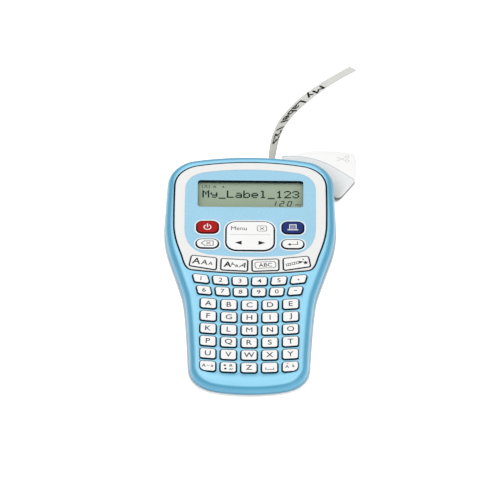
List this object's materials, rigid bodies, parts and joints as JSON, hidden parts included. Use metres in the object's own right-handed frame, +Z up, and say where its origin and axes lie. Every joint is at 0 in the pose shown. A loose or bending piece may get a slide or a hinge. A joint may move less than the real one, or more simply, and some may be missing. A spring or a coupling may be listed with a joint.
{
  "type": "label maker",
  "caption": "Hand-held label maker: tapered case, keyboard with cap keys, display in a raised ring, side cutter lever and printed tape curling from the top end.",
  "frame": {"origin": "on the rest face under the back cover, in the plane of left-right symmetry of the case", "axes": "+Z up out of the rest face, +Y along the case from the keyboard end to the tape end, +X to the user's right, towards the cutter lever"},
  "size_m": [0.1215, 0.3045, 0.058],
  "materials": {
    "blue_shell": "light blue, satin gloss",
    "white_plastic": "white, satin gloss",
    "clear_window": "clear, polished",
    "lcd_glass": "grey-green reflective display",
    "mat_rubber": "matt",
    "circuit_board": "green laminate",
    "rear_white": "white, fine texture",
    "blade_steel": "brushed",
    "head_metal": "satin",
    "platen_rubber": "matt",
    "gear_plastic": "natural",
    "gear_brass": "machined",
    "motor_steel": "plated",
    "cassette_plastic": "satin",
    "printed_tape": "laminated film, black print",
    "battery_jacket": "printed sleeve",
    "key_red": "red, gloss",
    "key_navy": "navy, gloss",
    "key_white": "white, satin gloss"
  },
  "bodies": {
    "body": {"front_case": "blue_shell", "display_ring": "white_plastic", "lcd_window": "clear_window", "lcd_module": "lcd_glass", "key_mat": "mat_rubber", "main_board": "circuit_board", "rear_case": "rear_white", "print_head": "head_metal", "drive_motor": "motor_steel", "tape_cassette": "cassette_plastic", "batteries": "battery_jacket", "case_screws": "blade_steel"},
    "lever": {"cutter_lever": "white_plastic"},
    "back_cover": {"back_cover": "rear_white"},
    "platen": {"platen_roller": "platen_rubber"},
    "blade": {"cutter_blade": "blade_steel"},
    "tape": {"label_tape": "printed_tape"},
    "idler": {"idler_gear": "gear_plastic"},
    "pinion": {"motor_pinion": "gear_brass"},
    "power_key": {"power_key": "key_red"},
    "print_key": {"print_key": "key_navy"},
    "backspace_key": {"backspace_key": "key_white"},
    "enter_key": {"enter_key": "key_white"},
    "navigation_key": {"navigation_key": "key_white"},
    "size_key": {"size_key": "key_white"},
    "font_key": {"font_key": "key_white"},
    "frame_key": {"frame_key": "key_white"},
    "decoration_key": {"decoration_key": "key_white"},
    "number_row_upper": {"number_keys_upper": "key_white"},
    "number_row_lower": {"number_keys_lower": "key_white"},
    "key_a": {"key_a": "key_white"},
    "key_b": {"key_b": "key_white"},
    "key_c": {"key_c": "key_white"},
    "key_d": {"key_d": "key_white"},
    "key_e": {"key_e": "key_white"},
    "key_f": {"key_f": "key_white"},
    "key_g": {"key_g": "key_white"},
    "key_h": {"key_h": "key_white"},
    "key_i": {"key_i": "key_white"},
    "key_j": {"key_j": "key_white"},
    "key_k": {"key_k": "key_white"},
    "key_l": {"key_l": "key_white"},
    "key_m": {"key_m": "key_white"},
    "key_n": {"key_n": "key_white"},
    "key_o": {"key_o": "key_white"},
    "key_p": {"key_p": "key_white"},
    "key_q": {"key_q": "key_white"},
    "key_r": {"key_r": "key_white"},
    "key_s": {"key_s": "key_white"},
    "key_t": {"key_t": "key_white"},
    "key_u": {"key_u": "key_white"},
    "key_v": {"key_v": "key_white"},
    "key_w": {"key_w": "key_white"},
    "key_x": {"key_x": "key_white"},
    "key_y": {"key_y": "key_white"},
    "key_z": {"key_z": "key_white"},
    "shift_key": {"shift_key": "key_white"},
    "symbol_key": {"symbol_key": "key_white"},
    "space_key": {"space_key": "key_white"},
    "accent_key": {"accent_key": "key_white"}
  },
  "joints": [
    {"name": "lever_pivot", "type": "hinge", "parent": "body", "child": "lever", "pos_m": [0.029, 0.09306, 0.0421], "axis": [0, 0.1045, -0.9945], "range_deg": [0, 14], "stiffness_Nm_per_rad": 0.05, "springref_deg": -14.32},
    {"name": "back_cover_release", "type": "slide", "parent": "body", "child": "back_cover", "axis": [0, 0, -1], "range_m": [0, 0.06]},
    {"name": "platen_spin", "type": "hinge", "parent": "body", "child": "platen", "pos_m": [0.0094, 0.08228, 0.02991], "axis": [0, -0.1045, 0.9945], "range_deg": [-1, 181]},
    {"name": "blade_slide", "type": "slide", "parent": "body", "child": "blade", "axis": [-1, 0, 0], "range_m": [0, 0.00196]},
    {"name": "tape_feed", "type": "slide", "parent": "body", "child": "tape", "axis": [0, 0.9945, 0.1045], "range_m": [0, 0.0126]},
    {"name": "idler_spin", "type": "hinge", "parent": "body", "child": "idler", "pos_m": [-0.00565, 0.08134, 0.03886], "axis": [0, -0.1045, 0.9945], "range_deg": [-121, 1]},
    {"name": "pinion_spin", "type": "hinge", "parent": "body", "child": "pinion", "pos_m": [-0.0183, 0.08134, 0.03886], "axis": [0, -0.1045, 0.9945], "range_deg": [-1, 301]},
    {"name": "power_key_press", "type": "slide", "parent": "body", "child": "power_key", "axis": [0, 0.1045, -0.9945], "range_m": [0, 0.001], "stiffness_N_per_m": 350, "springref_m": -0.001},
    {"name": "print_key_press", "type": "slide", "parent": "body", "child": "print_key", "axis": [0, 0.1045, -0.9945], "range_m": [0, 0.001], "stiffness_N_per_m": 350, "springref_m": -0.001},
    {"name": "backspace_key_press", "type": "slide", "parent": "body", "child": "backspace_key", "axis": [0, 0.1045, -0.9945], "range_m": [0, 0.001], "stiffness_N_per_m": 350, "springref_m": -0.001},
    {"name": "enter_key_press", "type": "slide", "parent": "body", "child": "enter_key", "axis": [0, 0.1045, -0.9945], "range_m": [0, 0.001], "stiffness_N_per_m": 350, "springref_m": -0.001},
    {"name": "navigation_key_press", "type": "slide", "parent": "body", "child": "navigation_key", "axis": [0, 0.1045, -0.9945], "range_m": [0, 0.001], "stiffness_N_per_m": 350, "springref_m": -0.001},
    {"name": "size_key_press", "type": "slide", "parent": "body", "child": "size_key", "axis": [0, 0.1045, -0.9945], "range_m": [0, 0.001], "stiffness_N_per_m": 350, "springref_m": -0.001},
    {"name": "font_key_press", "type": "slide", "parent": "body", "child": "font_key", "axis": [0, 0.1045, -0.9945], "range_m": [0, 0.001], "stiffness_N_per_m": 350, "springref_m": -0.001},
    {"name": "frame_key_press", "type": "slide", "parent": "body", "child": "frame_key", "axis": [0, 0.1045, -0.9945], "range_m": [0, 0.001], "stiffness_N_per_m": 350, "springref_m": -0.001},
    {"name": "decoration_key_press", "type": "slide", "parent": "body", "child": "decoration_key", "axis": [0, 0.1045, -0.9945], "range_m": [0, 0.001], "stiffness_N_per_m": 350, "springref_m": -0.001},
    {"name": "number_row_upper_press", "type": "slide", "parent": "body", "child": "number_row_upper", "axis": [0, 0.1045, -0.9945], "range_m": [0, 0.001], "stiffness_N_per_m": 350, "springref_m": -0.001},
    {"name": "number_row_lower_press", "type": "slide", "parent": "body", "child": "number_row_lower", "axis": [0, 0.1045, -0.9945], "range_m": [0, 0.001], "stiffness_N_per_m": 350, "springref_m": -0.001},
    {"name": "key_a_press", "type": "slide", "parent": "body", "child": "key_a", "axis": [0, 0.1045, -0.9945], "range_m": [0, 0.001], "stiffness_N_per_m": 350, "springref_m": -0.001},
    {"name": "key_b_press", "type": "slide", "parent": "body", "child": "key_b", "axis": [0, 0.1045, -0.9945], "range_m": [0, 0.001], "stiffness_N_per_m": 350, "springref_m": -0.001},
    {"name": "key_c_press", "type": "slide", "parent": "body", "child": "key_c", "axis": [0, 0.1045, -0.9945], "range_m": [0, 0.001], "stiffness_N_per_m": 350, "springref_m": -0.001},
    {"name": "key_d_press", "type": "slide", "parent": "body", "child": "key_d", "axis": [0, 0.1045, -0.9945], "range_m": [0, 0.001], "stiffness_N_per_m": 350, "springref_m": -0.001},
    {"name": "key_e_press", "type": "slide", "parent": "body", "child": "key_e", "axis": [0, 0.1045, -0.9945], "range_m": [0, 0.001], "stiffness_N_per_m": 350, "springref_m": -0.001},
    {"name": "key_f_press", "type": "slide", "parent": "body", "child": "key_f", "axis": [0, 0.1045, -0.9945], "range_m": [0, 0.001], "stiffness_N_per_m": 350, "springref_m": -0.001},
    {"name": "key_g_press", "type": "slide", "parent": "body", "child": "key_g", "axis": [0, 0.1045, -0.9945], "range_m": [0, 0.001], "stiffness_N_per_m": 350, "springref_m": -0.001},
    {"name": "key_h_press", "type": "slide", "parent": "body", "child": "key_h", "axis": [0, 0.1045, -0.9945], "range_m": [0, 0.001], "stiffness_N_per_m": 350, "springref_m": -0.001},
    {"name": "key_i_press", "type": "slide", "parent": "body", "child": "key_i", "axis": [0, 0.1045, -0.9945], "range_m": [0, 0.001], "stiffness_N_per_m": 350, "springref_m": -0.001},
    {"name": "key_j_press", "type": "slide", "parent": "body", "child": "key_j", "axis": [0, 0.1045, -0.9945], "range_m": [0, 0.001], "stiffness_N_per_m": 350, "springref_m": -0.001},
    {"name": "key_k_press", "type": "slide", "parent": "body", "child": "key_k", "axis": [0, 0.1045, -0.9945], "range_m": [0, 0.001], "stiffness_N_per_m": 350, "springref_m": -0.001},
    {"name": "key_l_press", "type": "slide", "parent": "body", "child": "key_l", "axis": [0, 0.1045, -0.9945], "range_m": [0, 0.001], "stiffness_N_per_m": 350, "springref_m": -0.001},
    {"name": "key_m_press", "type": "slide", "parent": "body", "child": "key_m", "axis": [0, 0.1045, -0.9945], "range_m": [0, 0.001], "stiffness_N_per_m": 350, "springref_m": -0.001},
    {"name": "key_n_press", "type": "slide", "parent": "body", "child": "key_n", "axis": [0, 0.1045, -0.9945], "range_m": [0, 0.001], "stiffness_N_per_m": 350, "springref_m": -0.001},
    {"name": "key_o_press", "type": "slide", "parent": "body", "child": "key_o", "axis": [0, 0.1045, -0.9945], "range_m": [0, 0.001], "stiffness_N_per_m": 350, "springref_m": -0.001},
    {"name": "key_p_press", "type": "slide", "parent": "body", "child": "key_p", "axis": [0, 0.1045, -0.9945], "range_m": [0, 0.001], "stiffness_N_per_m": 350, "springref_m": -0.001},
    {"name": "key_q_press", "type": "slide", "parent": "body", "child": "key_q", "axis": [0, 0.1045, -0.9945], "range_m": [0, 0.001], "stiffness_N_per_m": 350, "springref_m": -0.001},
    {"name": "key_r_press", "type": "slide", "parent": "body", "child": "key_r", "axis": [0, 0.1045, -0.9945], "range_m": [0, 0.001], "stiffness_N_per_m": 350, "springref_m": -0.001},
    {"name": "key_s_press", "type": "slide", "parent": "body", "child": "key_s", "axis": [0, 0.1045, -0.9945], "range_m": [0, 0.001], "stiffness_N_per_m": 350, "springref_m": -0.001},
    {"name": "key_t_press", "type": "slide", "parent": "body", "child": "key_t", "axis": [0, 0.1045, -0.9945], "range_m": [0, 0.001], "stiffness_N_per_m": 350, "springref_m": -0.001},
    {"name": "key_u_press", "type": "slide", "parent": "body", "child": "key_u", "axis": [0, 0.1045, -0.9945], "range_m": [0, 0.001], "stiffness_N_per_m": 350, "springref_m": -0.001},
    {"name": "key_v_press", "type": "slide", "parent": "body", "child": "key_v", "axis": [0, 0.1045, -0.9945], "range_m": [0, 0.001], "stiffness_N_per_m": 350, "springref_m": -0.001},
    {"name": "key_w_press", "type": "slide", "parent": "body", "child": "key_w", "axis": [0, 0.1045, -0.9945], "range_m": [0, 0.001], "stiffness_N_per_m": 350, "springref_m": -0.001},
    {"name": "key_x_press", "type": "slide", "parent": "body", "child": "key_x", "axis": [0, 0.1045, -0.9945], "range_m": [0, 0.001], "stiffness_N_per_m": 350, "springref_m": -0.001},
    {"name": "key_y_press", "type": "slide", "parent": "body", "child": "key_y", "axis": [0, 0.1045, -0.9945], "range_m": [0, 0.001], "stiffness_N_per_m": 350, "springref_m": -0.001},
    {"name": "key_z_press", "type": "slide", "parent": "body", "child": "key_z", "axis": [0, 0.1045, -0.9945], "range_m": [0, 0.001], "stiffness_N_per_m": 350, "springref_m": -0.001},
    {"name": "shift_key_press", "type": "slide", "parent": "body", "child": "shift_key", "axis": [0, 0.1045, -0.9945], "range_m": [0, 0.001], "stiffness_N_per_m": 350, "springref_m": -0.001},
    {"name": "symbol_key_press", "type": "slide", "parent": "body", "child": "symbol_key", "axis": [0, 0.1045, -0.9945], "range_m": [0, 0.001], "stiffness_N_per_m": 350, "springref_m": -0.001},
    {"name": "space_key_press", "type": "slide", "parent": "body", "child": "space_key", "axis": [0, 0.1045, -0.9945], "range_m": [0, 0.001], "stiffness_N_per_m": 350, "springref_m": -0.001},
    {"name": "accent_key_press", "type": "slide", "parent": "body", "child": "accent_key", "axis": [0, 0.1045, -0.9945], "range_m": [0, 0.001], "stiffness_N_per_m": 350, "springref_m": -0.001}
  ],
  "couplings": [
    {"joint": "blade_slide", "follows": "lever_pivot", "m_per_rad": 0.008},
    {"joint": "platen_spin", "follows": "tape_feed", "rad_per_m": 250},
    {"joint": "idler_spin", "follows": "tape_feed", "rad_per_m": -166.67},
    {"joint": "pinion_spin", "follows": "tape_feed", "rad_per_m": 416.67}
  ]
}
